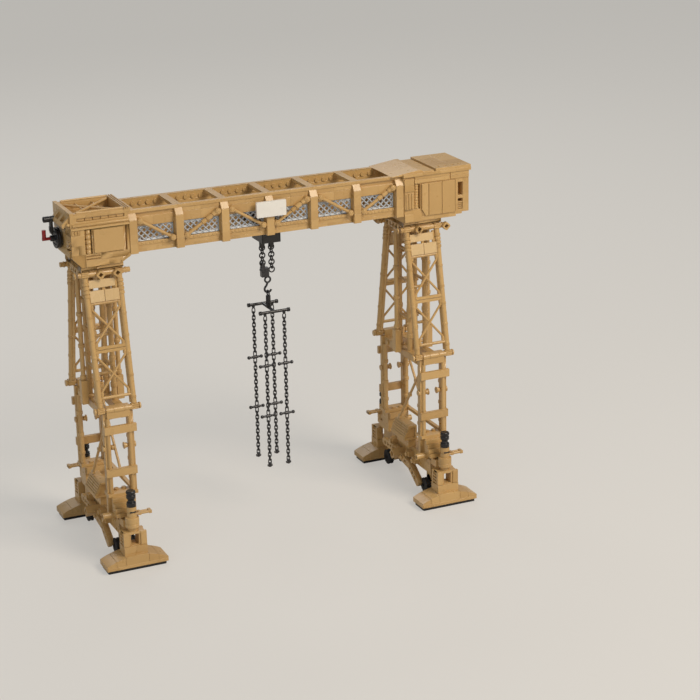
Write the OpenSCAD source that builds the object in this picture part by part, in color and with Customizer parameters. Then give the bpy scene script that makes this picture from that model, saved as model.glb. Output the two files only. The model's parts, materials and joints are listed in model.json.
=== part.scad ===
// Toy gantry crane built from interlocking plastic bricks: a closed girder on two braced towers,
// each on two screw jacks and two pairs of small rubber tyred wheels, with a travelling hoist,
// a hook and a four leg chain sling.
// X runs along the girder, -Y is the front, Z is up and the floor is Z = 0.

/* [Girder] */
// Distance between neighbouring girder posts
bay_pitch = 48; // [40:1:56]
// Outside width across the girder's side walls
girder_w = 48; // [42:1:60]
// Height of the girder's underside above the floor
girder_z = 307; // [280:1:340]
// Height of the girder's side walls
girder_h = 43; // [40:0.5:48]
// Thickness of the girder's side walls
side_wall_t = 4; // [3:0.5:5]
// Height of the lattice strip above the underside
lattice_z = 10; // [8:0.5:12]
// Height of the lattice strip
lattice_h = 16; // [14:0.5:18]
// Width of a bar of the diamond lattice
lattice_bar = 1.4; // [1:0.1:1.8]
// Width of a post and of a cross tie
post_w = 8; // [6:0.5:9]
// How far a post stands out from the side wall
post_proud = 5; // [4:0.5:6]
// Diameter of the diagonal bars
diagonal_d = 3.2; // [2.5:0.1:4]
// Height of the ledges that carry the trolley, above the underside
rail_z = 3; // [2:0.5:5]

/* [End housings] */
// Length of the left housing
left_housing_l = 59; // [52:1:64]
// Length of the right housing
right_housing_l = 76; // [66:1:84]
// Width of both housings
housing_w = 56; // [52:1:64]
// How far the housings reach below the girder
housing_drop = 7; // [5:0.5:10]

/* [Towers] */
// Place of the left tower along the girder
left_tower_x = -177; // [-184:1:-170]
// Place of the right tower along the girder
right_tower_x = 171; // [166:1:178]
// Distance from the centre plane to the lower legs
leg_y = 46; // [40:1:52]
// Distance from the centre plane to the top of the leaning panels
panel_top_y = 23; // [20:0.5:26]
// Height of the hinge between panels and lower legs
hinge_z = 158; // [145:1:170]
// Distance between the two rails of a leaning panel
panel_rail_gap = 35; // [32:1:38]
// Diameter of a panel's rails
panel_rail_d = 5.6; // [4.5:0.1:6.4]
// Outside width of a lower leg
leg_w = 31; // [28:0.5:34]
// Width of one post of a lower leg
leg_post_w = 6; // [5:0.5:7]
// Depth of one post of a lower leg
leg_post_d = 5; // [4:0.5:6]
// Height of the chassis deck that the lower legs stand on
deck_z = 70; // [62:1:78]

/* [Jacks and wheels] */
// Distance from the centre plane to the jacks
jack_y = 75; // [70:1:84]
// Length of a foot pad
pad_l = 64; // [52:1:72]
// Depth of a foot pad
pad_d = 24; // [20:1:28]
// Height of a foot pad at its middle
pad_h = 12.8; // [11:0.1:15]
// Diameter of a jack's barrel
jack_d = 14; // [12:0.5:16]
// Diameter of a tyre
tyre_d = 16.4; // [14:0.1:18]
// Width of a tyre
tyre_w = 6; // [4.5:0.1:7]
// Gap between the two tyres of a pair
tyre_gap = 10; // [8:0.5:12]
// Clearance under the tyres while the jacks carry the crane
tyre_lift = 3.2; // [1:0.1:5]

/* [Hoist] */
// Place of the trolley along the girder
trolley_x = 6; // [0:0.5:12]
// Length of the trolley
trolley_l = 32; // [26:1:40]
// Outside diameter of a ring of the hoist chain
ring_d = 7.3; // [6.5:0.1:8]
// Thickness of a ring of the hoist chain
ring_wire = 1.5; // [1.2:0.1:1.7]
// Height of the sling's cross bars
spreader_z = 222; // [214:1:228]
// Thickness of a link of the sling chain
link_wire = 1.2; // [1:0.1:1.3]
// Chain links in each stretch of the sling
stretch_links = 13; // [8:1:13]
// Distance between the sling's chains along the girder
sling_gap_x = 21; // [18:1:24]
// Distance between the sling's chains across the girder
sling_gap_y = 32; // [28:1:36]

/* [Hidden] */
// Running clearance of a shaft in its bore, on the radius
run_fit = 0.05;
// Gap between loose pieces that only hang in one another
loose_gap = 0.3;

girder_top = girder_z + girder_h;
girder_y = girder_w / 2;
inner_y = girder_y - side_wall_t;
chord_h = 3.2;
bays = 6;
girder_half = bays * bay_pitch / 2;
post_x = [for (i = [0 : bays]) (i - bays / 2) * bay_pitch];
post_h = 33.5;
cap_top = girder_top - chord_h;
chord_proud = 0.8;
window_side = post_w / 2 + 1;
rail_w = 5;
rail_t = 3.2;
stop_l = 4;
travel_half = girder_half - 32;

housing_y = housing_w / 2;
housing_z = girder_z - housing_drop;
left_outer_x = -girder_half - post_w / 2 - left_housing_l;
left_inner_x = -girder_half - post_w / 2;
right_inner_x = girder_half + post_w / 2;
right_outer_x = right_inner_x + right_housing_l;
housing_deck = girder_top - 6;

head_z = housing_z - 9;
panel_hinge_y = leg_y + 2;
panel_tilt = atan((panel_hinge_y - panel_top_y) / (head_z - hinge_z));
panel_l = (head_z - hinge_z) / cos(panel_tilt);
hinge_d = 4.8;
axle_d = 3.2;
axle_z = tyre_lift + tyre_d / 2;
wheel_y = leg_y;

hinge_block = 6;
lug_w = 24;

end_axis_y = 6;
end_axis_z = girder_top - 26;
end_shaft_d = 3.2;
end_shaft_l = 8;

ring_pitch = ring_d - 2 * ring_wire - loose_gap;
ring_top = girder_z - 17;
strand_x = 5;
pin_d = 2.4;
hook_wire = 2.2;
hook_r = 3.6;
hook_z = ring_top - 48;
eye_r = 3;
eye_z = hook_z + 10;

link_w = 4.4;
link_l = 6.9;
link_gap = 0.6;
link_pitch = link_l - 2 * link_wire - link_gap;
sling_bar_d = 3.2;
link_sunk = 0.9;
stub_l = 3;
sling_step = link_pitch * (stretch_links - 1) + link_l + sling_bar_d - 2 * link_sunk;

tan_brick = [0.80, 0.64, 0.40];
lattice_grey = [0.74, 0.76, 0.78];
black_part = [0.06, 0.06, 0.07];
chain_grey = [0.22, 0.22, 0.23];
sign_white = [0.93, 0.92, 0.88];
handle_red = [0.62, 0.07, 0.08];

// Places the children on both sides of the girder's centre plane
module at_back() {
    rotate([0, 0, 180]) children();
}

// A bar between two points of the XZ plane, at one y
module bar_xz(from, to, d, y) {
    run = to - from;
    translate([from[0], y, from[1]])
        rotate([0, atan2(run[0], run[1]), 0])
            cylinder(h = norm(run), d = d, $fn = 24);
}

// A round bar along X
module bar_x(x0, x1, y, z, d) {
    translate([x0, y, z]) rotate([0, 90, 0]) cylinder(h = x1 - x0, d = d, $fn = 32);
}

// A round bar along Y
module bar_y(x, y0, y1, z, d) {
    translate([x, y1, z]) rotate([90, 0, 0]) cylinder(h = y1 - y0, d = d, $fn = 32);
}

// A box from its low corner to its high corner
module block(low, high) {
    translate(low) cube(high - low);
}

// An XZ outline given depth along Y
module slab_xz(outline, y0, y1) {
    translate([0, y1, 0]) rotate([90, 0, 0]) linear_extrude(y1 - y0) polygon(outline);
}

// A YZ outline given length along X
module slab_yz(outline, x0, x1) {
    translate([x0, 0, 0]) rotate([90, 0, 90]) linear_extrude(x1 - x0) polygon(outline);
}

/* Girder */

module side_wall() {
    color(tan_brick) difference() {
        union() {
            block([-girder_half - post_w / 2, -girder_y, girder_z],
                [girder_half + post_w / 2, -inner_y, girder_top - chord_h]);
            block([-girder_half - post_w / 2, -girder_y - chord_proud, girder_top - chord_h],
                [girder_half + post_w / 2, -inner_y, girder_top]);
        }
        for (i = [0 : bays - 1])
            block([post_x[i] + window_side, -girder_y - 1, girder_z + lattice_z],
                [post_x[i + 1] - window_side, -inner_y + 1, girder_z + lattice_z + lattice_h]);
    }
}

module post(x) {
    face = -girder_y - post_proud;
    slab_yz([[-girder_y, girder_z], [face, girder_z], [face, girder_z + post_h],
        [-girder_y - chord_proud, cap_top], [-girder_y, cap_top]], x - post_w / 2, x + post_w / 2);
}

module posts() {
    color(tan_brick) for (x = post_x) post(x);
}

// Flat diamond lattice that fills one window of a side wall
module lattice_strip(i) {
    w = bay_pitch - 2 * window_side;
    pitch = lattice_h / 2.5;
    reach = w + lattice_h;
    translate([post_x[i] + window_side, -inner_y - 1.6, girder_z + lattice_z])
        rotate([90, 0, 0]) linear_extrude(1.4) {
            intersection() {
                square([w, lattice_h]);
                for (k = [0 : floor(reach / pitch)]) {
                    translate([k * pitch, 0]) rotate(45)
                        translate([-reach, -lattice_bar / 2]) square([2 * reach, lattice_bar]);
                    translate([k * pitch, 0]) rotate(135)
                        translate([-reach, -lattice_bar / 2]) square([2 * reach, lattice_bar]);
                }
            }
            difference() {
                square([w, lattice_h]);
                translate([lattice_bar, lattice_bar])
                    square([w - 2 * lattice_bar, lattice_h - 2 * lattice_bar]);
            }
        }
}

module lattice() {
    color(lattice_grey) for (i = [0 : bays - 1]) lattice_strip(i);
}

// One diagonal: a round bar between two clip barrels that sit on the side wall
module diagonal(i) {
    low = girder_z + lattice_z + 1.5;
    high = girder_z + lattice_z + lattice_h + 6;
    x0 = post_x[i] + post_w / 2 + 3.4;
    x1 = post_x[i + 1] - post_w / 2 - 3.4;
    falls = i % 2 == 0;
    from = [x0, falls ? high : low];
    to = [x1, falls ? low : high];
    face = -girder_y - post_proud;
    bar_xz(from, to, diagonal_d, -girder_y - post_proud / 2);
    for (p = [from, to]) bar_y(p[0], face, -girder_y, p[1], 6);
}

module diagonals() {
    color(tan_brick) for (i = [0 : bays - 1]) diagonal(i);
}

module front_wall() side_wall();
module back_wall() at_back() side_wall();
module front_posts() posts();
module back_posts() at_back() posts();
module front_lattice() lattice();
module back_lattice() at_back() lattice();
module front_diagonals() diagonals();
module back_diagonals() at_back() diagonals();

module top_ties() {
    color(tan_brick) for (x = post_x)
        block([x - post_w / 2, -inner_y, girder_top - chord_h], [x + post_w / 2, inner_y, girder_top]);
}

// Two ledges inside the girder, with a stop at each end that the trolley runs against
module trolley_rails() {
    reach = travel_half + trolley_l / 2 + loose_gap;
    color(tan_brick) for (turn = [0, 180]) rotate([0, 0, turn]) {
        block([-girder_half, -inner_y, girder_z + rail_z],
            [girder_half, -inner_y + rail_w, girder_z + rail_z + rail_t]);
        for (x = [-reach - stop_l, reach])
            block([x, -inner_y, girder_z + rail_z], [x + stop_l, -inner_y + rail_w, girder_z + rail_z + 9]);
    }
}

sign_l = 32;
sign_h = 16;
sign_t = 3.2;
sign_z = girder_z + 20;

module sign_plate() {
    face = -girder_y - post_proud;
    color(sign_white) block([-sign_l / 2, face - sign_t, sign_z], [sign_l / 2, face, sign_z + sign_h]);
}

/* Left housing */

module left_housing() {
    drop = 10;
    outline = [[left_outer_x + 9, housing_z], [left_inner_x - 10, housing_z],
        [left_inner_x, housing_z + 6], [left_inner_x, housing_deck], [left_outer_x, housing_deck],
        [left_outer_x, housing_z + drop]];
    color(tan_brick) difference() {
        slab_xz(outline, -housing_y, housing_y);
        bar_x(left_outer_x - 1, left_outer_x + end_shaft_l + 0.5, end_axis_y, end_axis_z,
            end_shaft_d + 2 * run_fit);
    }
}

module left_top_frame() {
    z0 = housing_deck;
    z1 = girder_top + 5;
    edge = 5;
    color(tan_brick) {
        difference() {
            block([left_outer_x, -housing_y, z0], [left_inner_x, housing_y, z1]);
            block([left_outer_x + edge, -housing_y + edge, z0 - 1],
                [left_inner_x - edge, housing_y - edge, z1 + 1]);
        }
        mid = (left_outer_x + left_inner_x) / 2;
        clear = [left_housing_l - 2 * edge, housing_w - 2 * edge];
        for (a = [-1, 1])
            translate([mid, 0, z1 - 3]) rotate([0, 0, a * atan2(clear[1], clear[0])])
                cube([norm(clear) + edge, 4, 3], center = true);
    }
}

module left_door() {
    color(tan_brick) block([left_outer_x + 22.5, -housing_y - 1.6, housing_z + 13.5],
        [left_inner_x - 6.5, -housing_y, housing_z + 36.5]);
}

tray_w = 36;
end_bar_d = 4;
end_bar_z = girder_top - 6.5;

module end_tray() {
    color(tan_brick) difference() {
        slab_xz([[left_outer_x, girder_top - 6], [left_outer_x - 7, girder_top - 9.5],
            [left_outer_x - 8, girder_top - 6], [left_outer_x, girder_top + 2]],
            -housing_y + 2, -housing_y + 2 + tray_w);
        for (k = [0, 1])
            block([left_outer_x - 6, -housing_y + 5 + 16 * k, girder_top - 6],
                [left_outer_x - 1, -housing_y + 15 + 16 * k, girder_top + 4]);
        bar_x(left_outer_x - 10, left_outer_x, end_axis_y, end_bar_z, end_bar_d + 2 * run_fit);
    }
}

hand_wheel_d = 24;
hand_wheel_t = 5;
hub_l = 4;
crank_l = 8;

module end_bar() {
    color(black_part) bar_x(left_outer_x - 17, left_outer_x, end_axis_y, end_bar_z, end_bar_d);
}

// The wheel's own shaft runs in the housing's end wall
module hand_wheel() {
    back = left_outer_x - 2;
    color(black_part) {
        bar_x(left_outer_x - 3, left_outer_x + end_shaft_l, end_axis_y, end_axis_z, end_shaft_d);
        bar_x(back - hand_wheel_t, back, end_axis_y, end_axis_z, hand_wheel_d);
        bar_x(back - hand_wheel_t - hub_l, back - hand_wheel_t, end_axis_y, end_axis_z, 6);
    }
}

module crank_handle() {
    x = left_outer_x - 2 - hand_wheel_t - hub_l;
    color(handle_red) {
        bar_x(x - crank_l, x, end_axis_y, end_axis_z, end_shaft_d);
        translate([x - crank_l + 2, end_axis_y, end_axis_z]) cylinder(h = 9, d = 4, $fn = 32);
    }
}

/* Right housing */

module right_housing() {
    outline = [[right_inner_x, housing_z], [right_outer_x - 15, housing_z],
        [right_outer_x - 15, housing_z + 2], [right_outer_x - 8, housing_z + 2],
        [right_outer_x - 8, housing_z + 4], [right_outer_x, housing_z + 4],
        [right_outer_x, girder_top - 2], [right_inner_x, girder_top - 2]];
    color(tan_brick) slab_xz(outline, -housing_y, housing_y);
}

module right_roof() {
    z = girder_top - 2;
    color(tan_brick) {
        block([right_inner_x, -housing_y - 2, z], [right_outer_x + 2, housing_y + 2, z + 3.2]);
        block([right_inner_x + 36, -housing_y + 3, z + 3.2], [right_outer_x + 1, housing_y - 3, z + 8]);
    }
}

module right_doors() {
    color(tan_brick) block([right_inner_x + 20, -housing_y - 1.6, housing_z + 3],
        [right_inner_x + 60, -housing_y, housing_z + 40]);
}

module right_column() {
    color(tan_brick) block([right_inner_x + 1, -housing_y - 1.6, housing_z + 14],
        [right_inner_x + 12, -housing_y, housing_z + 46]);
}

/* Towers */

// Carries the housing and holds the upper hinge bars of the two leaning panels
module head() {
    half = panel_rail_gap / 2;
    plate_z = head_z + 4.2;
    color(tan_brick) {
        block([-half - 4, -panel_top_y - 3, plate_z], [half + 4, panel_top_y + 3, housing_z]);
        for (s = [-1, 1]) {
            block([-lug_w / 2, s * panel_top_y - 3, head_z - 3], [lug_w / 2, s * panel_top_y + 3, plate_z]);
            bar_x(-half - 7, half + 11, s * panel_top_y, head_z, hinge_d);
        }
    }
}

// One leaning panel, drawn upright with its hinge at the origin
module panel() {
    half = panel_rail_gap / 2;
    t = 3.2;
    b = hinge_block / 2;
    color(tan_brick)
        translate([0, -panel_hinge_y, hinge_z]) rotate([-panel_tilt, 0, 0]) difference() {
            union() {
                for (s = [-1, 1]) {
                    translate([s * half, 0, b]) cylinder(h = panel_l - 2 * b, d = panel_rail_d, $fn = 32);
                    for (v = [0, panel_l])
                        block([s * half - 3.6, -b, v - b], [s * half + 3.6, b, v + b]);
                }
                for (v = [12.5, 106])
                    translate([-half, 0, v]) rotate([0, 90, 0]) cylinder(h = 2 * half, d = t, $fn = 24);
                block([-half, -1.6, 57], [half, 1.6, 63.4]);
                for (v = [16, 63.5]) {
                    bar_xz([-half + 2, v + 4], [half - 2, v + 36], 2.4, 0);
                    bar_xz([half - 2, v + 4], [-half + 2, v + 36], 2.4, 0);
                }
                block([-half, -1.6, 108], [half, 1.6, 119]);
                block([-half, -1.6, 121.5], [half, 1.6, 129.5]);
            }
            for (v = [0, panel_l]) bar_x(-half - 8, half + 8, 0, v, hinge_d + 2 * run_fit);
        }
}

column_y = 12;
column_x = 9;

module columns() {
    low = hinge_z - 12;
    color(tan_brick) for (sx = [-1, 1]) {
        for (sy = [-1, 1])
            translate([sx * column_x, sy * column_y, low + 4])
                cylinder(h = head_z + 4.2 - low - 4, d = 5.6, $fn = 32);
        block([sx * column_x - 4, -leg_y + leg_post_d / 2, low],
            [sx * column_x + 4, leg_y - leg_post_d / 2, low + 8]);
    }
}

module leg() {
    half = leg_w / 2;
    top = hinge_z - hinge_block / 2 - 0.8;
    front = -leg_y - leg_post_d / 2;
    color(tan_brick) {
        for (s = [-1, 1])
            block([s > 0 ? half - leg_post_w : -half, front, deck_z],
                [s > 0 ? half : -half + leg_post_w, front + leg_post_d, top]);
        block([-half, front, top - 5], [half, front + leg_post_d, top]);
        block([-lug_w / 2, -panel_hinge_y - 3, top - 5], [lug_w / 2, front + leg_post_d, hinge_z + 3]);
        for (z = [deck_z + 18, deck_z + 63]) block([-half, front - 3.2, z], [half, front, z + 8]);
        for (s = [-1, 1])
            bar_x(s > 0 ? half - leg_post_w - 3 : -half - 1, s > 0 ? half + 1 : -half + leg_post_w + 3,
                -leg_y, deck_z + 47.5, 3.2);
        bar_x(-half - 7, half + 7, -panel_hinge_y, hinge_z, hinge_d);
    }
}

beam_z = deck_z - 42;
beam_h = 16;

module chassis() {
    box_x = tyre_gap / 2 - 0.4;
    color(tan_brick) difference() {
        union() {
            block([-8, -leg_y - 12, beam_z], [8, leg_y + 12, beam_z + beam_h]);
            block([-leg_w / 2, -leg_y - 6, deck_z - 3.2], [leg_w / 2, leg_y + 6, deck_z]);
            for (s = [-1, 1]) {
                block([-12, s * leg_y - 8, beam_z + beam_h], [12, s * leg_y + 8, deck_z - 3.2]);
                block([-box_x, s * wheel_y - 5, axle_z - 4], [box_x, s * wheel_y + 5, beam_z]);
            }
        }
        for (s = [-1, 1]) bar_x(-20, 20, s * wheel_y, axle_z, axle_d + 2 * run_fit);
    }
}

module winch_cover() {
    foot = beam_z + beam_h;
    roof = deck_z - 3.2;
    color(tan_brick)
        slab_xz([[-14, foot], [-4, foot], [-4, roof], [-8, roof]], -16, 16);
}

module wheels() {
    color(black_part) {
        bar_x(-tyre_gap / 2 - tyre_w, tyre_gap / 2 + tyre_w, -wheel_y, axle_z, axle_d);
        for (x = [-tyre_gap / 2 - tyre_w, tyre_gap / 2]) bar_x(x, x + tyre_w, -wheel_y, axle_z, tyre_d);
    }
}

// Screw jack: foot block, window block, barrel, screw and knob, with a lever to the side
module jack() {
    base = tyre_lift + pad_h;
    window_w = 7.6;
    window_h = 9;
    color(tan_brick) {
        difference() {
            union() {
                block([-12, -jack_y - 8, base], [12, -jack_y + 8, base + 8]);
                block([-12, -jack_y - 6, base + 8], [12, -jack_y + 6, base + 20]);
            }
            block([-window_w / 2, -jack_y - 20, base + 9.5],
                [window_w / 2, -jack_y + 20, base + 9.5 + window_h]);
        }
        translate([0, -jack_y, base + 20]) cylinder(h = 14, d = jack_d, $fn = 48);
        translate([0, -jack_y, base + 34]) cylinder(h = 14, d = 10, $fn = 48);
        bar_x(0, 22, -jack_y, base + 40, 4);
        block([-8, -jack_y + 5, base + 22], [8, -leg_y - 12, base + 32]);
    }
    color(black_part) translate([0, -jack_y, base + 48]) cylinder(h = 17, d = 9.4, $fn = 48);
}

module pad() {
    // Circle through the pad's two ends and its middle
    rise = pad_h - 5;
    r = (pad_l * pad_l / 4 + rise * rise) / (2 * rise);
    low = tyre_lift;
    color(tan_brick) {
        intersection() {
            block([-pad_l / 2, -jack_y - pad_d / 2, low], [pad_l / 2, -jack_y + pad_d / 2, low + pad_h]);
            bar_y(0, -jack_y - pad_d / 2 - 1, -jack_y + pad_d / 2 + 1, low + pad_h - r, 2 * r);
        }
        block([-12, -jack_y - 8, low], [12, -jack_y + 8, low + pad_h]);
    }
    color(black_part) block([-pad_l / 2 + 1.6, -jack_y - pad_d / 2 + 1.6, 0],
        [pad_l / 2 - 1.6, -jack_y + pad_d / 2 - 1.6, low]);
}

module left_tower() translate([left_tower_x, 0, 0]) children();
module right_tower() translate([right_tower_x, 0, 0]) children();

module left_head() left_tower() head();
module left_front_panel() left_tower() panel();
module left_back_panel() left_tower() at_back() panel();
module left_columns() left_tower() columns();
module left_front_leg() left_tower() leg();
module left_back_leg() left_tower() at_back() leg();
module left_chassis() left_tower() chassis();
module left_winch_cover() left_tower() winch_cover();
module left_front_jack() left_tower() jack();
module left_back_jack() left_tower() at_back() jack();
module left_front_pad() left_tower() pad();
module left_back_pad() left_tower() at_back() pad();
module left_front_wheels() left_tower() wheels();
module left_back_wheels() left_tower() at_back() wheels();
module right_head() right_tower() head();
module right_front_panel() right_tower() panel();
module right_back_panel() right_tower() at_back() panel();
module right_columns() right_tower() columns();
module right_front_leg() right_tower() leg();
module right_back_leg() right_tower() at_back() leg();
module right_chassis() right_tower() chassis();
module right_winch_cover() right_tower() winch_cover();
module right_front_jack() right_tower() jack();
module right_back_jack() right_tower() at_back() jack();
module right_front_pad() right_tower() pad();
module right_back_pad() right_tower() at_back() pad();
module right_front_wheels() right_tower() wheels();
module right_back_wheels() right_tower() at_back() wheels();

/* Hoist */

trolley_y = inner_y - 0.5;
cheek_t = 1.6;

// A frame on the rails, with a well between them and two pinned lugs for the chain
module trolley() {
    rail_top = girder_z + rail_z + rail_t;
    well_y = inner_y - rail_w - 1;
    well_z = girder_z - 12.5;
    first = ring_top - ring_d / 2;
    pin_z = ring_top - ring_wire - 0.1 - pin_d / 2;
    lug_low = first - ring_pitch + ring_d / 2 + 0.1;
    color(black_part) translate([trolley_x, 0, 0]) {
        block([-trolley_l / 2, -trolley_y, rail_top + loose_gap], [trolley_l / 2, trolley_y, rail_top + 8]);
        block([-10, -well_y, well_z], [10, well_y, rail_top + loose_gap]);
        for (x = [-strand_x, strand_x]) {
            for (s = [-1, 1])
                translate([x, s * (ring_wire / 2 + 0.4 + cheek_t / 2), (lug_low + well_z) / 2])
                    cube([4, cheek_t, well_z - lug_low], center = true);
            bar_y(x, -ring_wire / 2 - 0.4 - cheek_t, ring_wire / 2 + 0.4 + cheek_t, pin_z, pin_d);
        }
    }
}

// A round ring of the hoist chain, seen from the front when turned is 0
module ring(z, turned) {
    translate([0, 0, z]) rotate([90, 0, turned]) rotate_extrude($fn = 48)
        translate([(ring_d - ring_wire) / 2, 0]) circle(d = ring_wire, $fn = 20);
}

module ring_run(x, count) {
    translate([trolley_x + x, 0, 0]) for (k = [0 : count - 1])
        ring(ring_top - ring_d / 2 - k * ring_pitch, 90 * (k % 2));
}

left_rings = 5;
right_rings = 7;

module hoist_chain() {
    color(chain_grey) {
        ring_run(-strand_x, left_rings);
        ring_run(strand_x, right_rings);
    }
}

// Block pinned to the left strand, with the hook's eye and bowl below it
module hook() {
    last = ring_top - ring_d / 2 - (left_rings - 1) * ring_pitch;
    pin_z = last - ring_d / 2 + ring_wire + 0.1 + pin_d / 2;
    block_low = eye_z + eye_r + 0.5;
    block_high = last - ring_d / 2 - 1.5;
    start = [-1.8, hook_z + 3.1];
    color(chain_grey) translate([trolley_x, 0, 0]) {
        for (s = [-1, 1])
            translate([-strand_x, s * (ring_wire / 2 + 0.4 + cheek_t / 2), (pin_z + block_high) / 2])
                cube([3.4, cheek_t, pin_z - block_high + 2], center = true);
        bar_y(-strand_x, -ring_wire / 2 - 0.4 - cheek_t, ring_wire / 2 + 0.4 + cheek_t, pin_z, pin_d);
        block([-strand_x - 2, -2.8, block_low], [strand_x - ring_d / 2 - 0.4, 2.8, block_high]);
        translate([0, 0, eye_z]) rotate([90, 0, 0]) rotate_extrude($fn = 48)
            translate([eye_r, 0]) circle(d = 2, $fn = 20);
        bar_xz([0, eye_z - eye_r], start, hook_wire, 0);
        translate([0, 0, hook_z]) rotate([90, 0, 0]) rotate([0, 0, 120])
            rotate_extrude(angle = 225, $fn = 48) translate([hook_r, 0]) circle(d = hook_wire, $fn = 20);
    }
}

// Two bars along X on a cross bar, hung by a ring that passes through the hook's bowl
module sling_spreader() {
    ring_z = hook_z - hook_r + hook_wire / 2 + 0.15 - ring_d / 2 + ring_wire;
    color(black_part) translate([trolley_x, 0, 0]) {
        ring(ring_z, 90);
        for (s = [-1, 1]) {
            bar_x(-16, 16, s * sling_gap_y / 2, spreader_z, sling_bar_d);
            for (x = [-1, 1]) translate([x * sling_gap_x / 2, s * sling_gap_y / 2, spreader_z - stub_l])
                cylinder(h = stub_l, d = sling_bar_d, $fn = 24);
        }
        bar_y(0, -sling_gap_y / 2, sling_gap_y / 2, spreader_z, sling_bar_d);
        translate([0, 0, spreader_z]) cylinder(h = ring_z - ring_d / 2 + 1 - spreader_z, d = 5, $fn = 32);
    }
}

module oval(w, l) {
    square([w, l - w], center = true);
    for (s = [-1, 1]) translate([0, s * (l - w) / 2]) circle(d = w, $fn = 32);
}

// An oval link with its top at z
module link(z, turned) {
    translate([0, 0, z - link_l / 2]) rotate([90, 0, turned]) linear_extrude(link_wire, center = true)
        difference() {
            oval(link_w, link_l);
            oval(link_w - 2 * link_wire, link_l - 2 * link_wire);
        }
}

// Links from the top down and the bar that they end on
module stretch(top) {
    for (j = [0 : stretch_links - 1]) link(top - j * link_pitch, 90 * (j % 2));
    low = top - (stretch_links - 1) * link_pitch - link_l + link_sunk;
    bar_x(-8, 8, 0, low - sling_bar_d / 2, sling_bar_d);
}

stretches = 3;

module sling_chains() {
    color(chain_grey) translate([trolley_x, 0, 0])
        for (sx = [-1, 1]) for (sy = [-1, 1])
            translate([sx * sling_gap_x / 2, sy * sling_gap_y / 2, 0]) for (k = [0 : stretches - 1])
                stretch(spreader_z - stub_l - k * sling_step);
}

front_wall();
back_wall();
front_posts();
back_posts();
front_lattice();
back_lattice();
front_diagonals();
back_diagonals();
top_ties();
trolley_rails();
sign_plate();
left_housing();
left_top_frame();
left_door();
end_tray();
end_bar();
hand_wheel();
crank_handle();
right_housing();
right_roof();
right_doors();
right_column();
left_head();
left_front_panel();
left_back_panel();
left_columns();
left_front_leg();
left_back_leg();
left_chassis();
left_winch_cover();
left_front_jack();
left_back_jack();
left_front_pad();
left_back_pad();
left_front_wheels();
left_back_wheels();
right_head();
right_front_panel();
right_back_panel();
right_columns();
right_front_leg();
right_back_leg();
right_chassis();
right_winch_cover();
right_front_jack();
right_back_jack();
right_front_pad();
right_back_pad();
right_front_wheels();
right_back_wheels();
trolley();
hoist_chain();
hook();
sling_spreader();
sling_chains();
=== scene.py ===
import json
import math
import random

import bmesh
import bpy
from mathutils import Matrix, Vector
from mathutils.geometry import tessellate_polygon


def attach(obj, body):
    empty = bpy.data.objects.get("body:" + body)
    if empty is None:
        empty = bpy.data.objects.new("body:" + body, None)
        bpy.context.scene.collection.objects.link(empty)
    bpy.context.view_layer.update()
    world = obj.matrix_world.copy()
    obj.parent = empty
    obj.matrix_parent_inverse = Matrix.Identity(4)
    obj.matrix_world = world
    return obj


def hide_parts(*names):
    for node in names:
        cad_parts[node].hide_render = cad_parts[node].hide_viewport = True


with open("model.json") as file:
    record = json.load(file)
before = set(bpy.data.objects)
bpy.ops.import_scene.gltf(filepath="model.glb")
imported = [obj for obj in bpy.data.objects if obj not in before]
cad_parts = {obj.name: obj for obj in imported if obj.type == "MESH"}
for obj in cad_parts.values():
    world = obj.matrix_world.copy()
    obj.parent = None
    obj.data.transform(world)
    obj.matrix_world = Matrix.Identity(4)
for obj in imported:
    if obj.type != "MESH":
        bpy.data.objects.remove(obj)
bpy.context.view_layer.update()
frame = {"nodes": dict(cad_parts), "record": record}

MM = 0.001
scene = bpy.context.scene
scene.view_settings.view_transform = "Standard"


# Colours and materials

def linear(hex_colour):
    """A colour written as sRGB hex, as linear RGBA."""
    channels = [int(hex_colour[i:i + 2], 16) / 255 for i in (1, 3, 5)]
    return [c / 12.92 if c <= 0.04045 else ((c + 0.055) / 1.055) ** 2.4 for c in channels] + [1]


def add(tree, kind, inputs=None, settings=None, out=0):
    """Adds a node and gives back one of its outputs. An input is a value or the socket that feeds it."""
    node = tree.nodes.new(kind)
    for key, value in (settings or {}).items():
        setattr(node, key, value)
    for key, value in (inputs or {}).items():
        if isinstance(value, bpy.types.NodeSocket):
            tree.links.new(value, node.inputs[key])
        else:
            node.inputs[key].default_value = value
    return node.outputs[out]


def calc(tree, operation, a, b=0.5):
    """Arithmetic on values or sockets."""
    return add(tree, "ShaderNodeMath", {0: a, 1: b}, {"operation": operation})


def noise(tree, place, size_mm, detail):
    """Noise with features of about this size."""
    return add(tree, "ShaderNodeTexNoise", {"Vector": place, "Scale": 1 / (size_mm * MM), "Detail": detail})


# Sizes in the moulded surface, in millimetres: the colour's drift, the gloss' waves, the skin's grain
# and its height, and the radius that the mould leaves on an edge
DRIFT, WAVE, GRAIN, RELIEF, EDGE = 34, 9, 1.6, 0.02, 0.22
ABS_IOR = 1.54


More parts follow.
